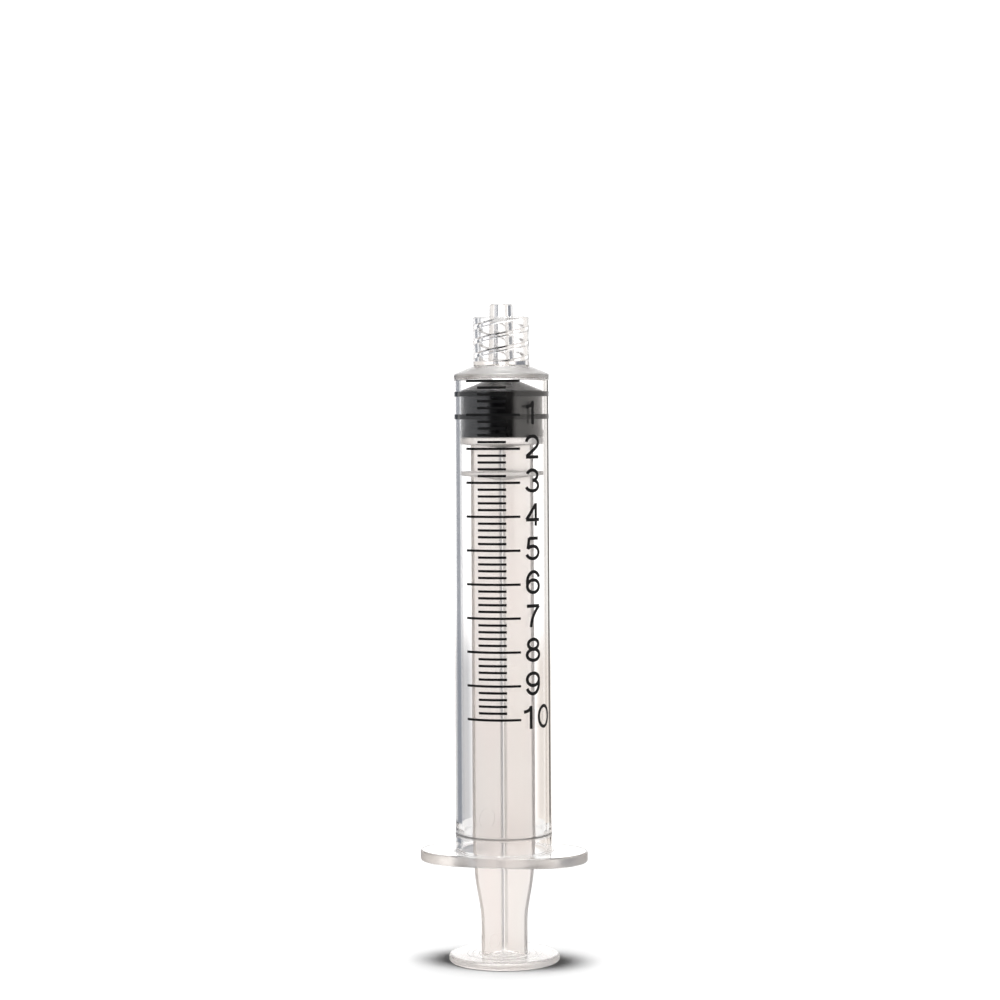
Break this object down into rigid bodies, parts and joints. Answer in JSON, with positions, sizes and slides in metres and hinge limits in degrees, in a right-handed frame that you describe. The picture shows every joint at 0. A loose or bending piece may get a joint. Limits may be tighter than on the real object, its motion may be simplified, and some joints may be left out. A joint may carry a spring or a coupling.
{
  "type": "luer lock syringe",
  "caption": "Clear three-piece syringe with luer lock tip, black rubber stopper, ribbed plunger rod, oval finger flange and round thumb rest.",
  "frame": {"origin": "centre of the underside of the thumb rest, on the surface that the syringe stands on with its tip up", "axes": "+Z along the bore towards the luer tip, X along the two finger wings, the scale side of the barrel faces -Y"},
  "size_m": [0.0296, 0.0194, 0.1154],
  "materials": {
    "clear_plastic": "clear, polished",
    "natural_plastic": "clear, slightly milky",
    "black_rubber": "smooth, oiled"
  },
  "bodies": {
    "plunger_rod": {"plunger_rod": "natural_plastic"},
    "stopper": {"stopper": "black_rubber"},
    "barrel": {"barrel": "clear_plastic"}
  },
  "joints": [
    {"name": "stopper_turn", "type": "hinge", "parent": "plunger_rod", "child": "stopper", "pos_m": [0, 0, 0.0955], "axis": [0, 0, 1], "continuous": true},
    {"name": "barrel_slide", "type": "slide", "parent": "stopper", "child": "barrel", "axis": [0, 0, 1], "range_m": [-0.0019, 0.0618]}
  ]
}
